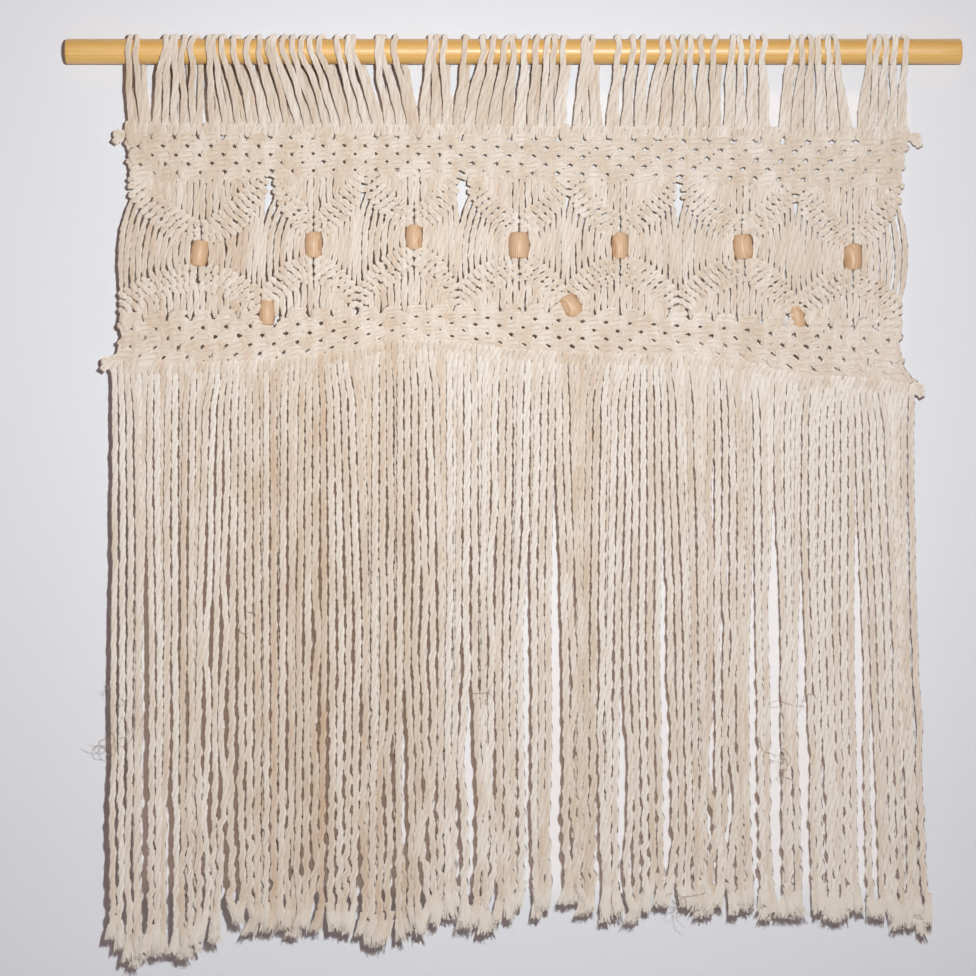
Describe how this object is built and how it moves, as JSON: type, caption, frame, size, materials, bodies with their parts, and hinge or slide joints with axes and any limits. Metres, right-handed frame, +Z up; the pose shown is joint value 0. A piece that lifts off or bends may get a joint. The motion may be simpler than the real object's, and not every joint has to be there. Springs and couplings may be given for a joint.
{
  "type": "macrame curtain on a rod",
  "caption": "Hung macrame curtain of natural cotton cord on a wooden rod, with knotted bands, crossing diagonal motifs, wooden beads and a long frayed fringe.",
  "frame": {"origin": "middle of the rod's axis, where the rod is held up", "axes": "+X along the rod to the right as seen from the front, +Y towards the wall behind the curtain, +Z up"},
  "size_m": [0.895, 0.038, 0.9264],
  "materials": {
    "cotton_cord": "natural undyed twisted cotton",
    "rod_wood": "clear varnish",
    "bead_wood": "smooth sanded"
  },
  "bodies": {
    "root": {"rod": "rod_wood", "heading": "cotton_cord", "panel": "cotton_cord", "fringe": "cotton_cord", "bead_1": "bead_wood", "bead_2": "bead_wood", "bead_3": "bead_wood", "bead_4": "bead_wood", "bead_5": "bead_wood", "bead_6": "bead_wood", "bead_7": "bead_wood", "bead_8": "bead_wood", "bead_9": "bead_wood", "bead_10": "bead_wood"}
  },
  "joints": []
}
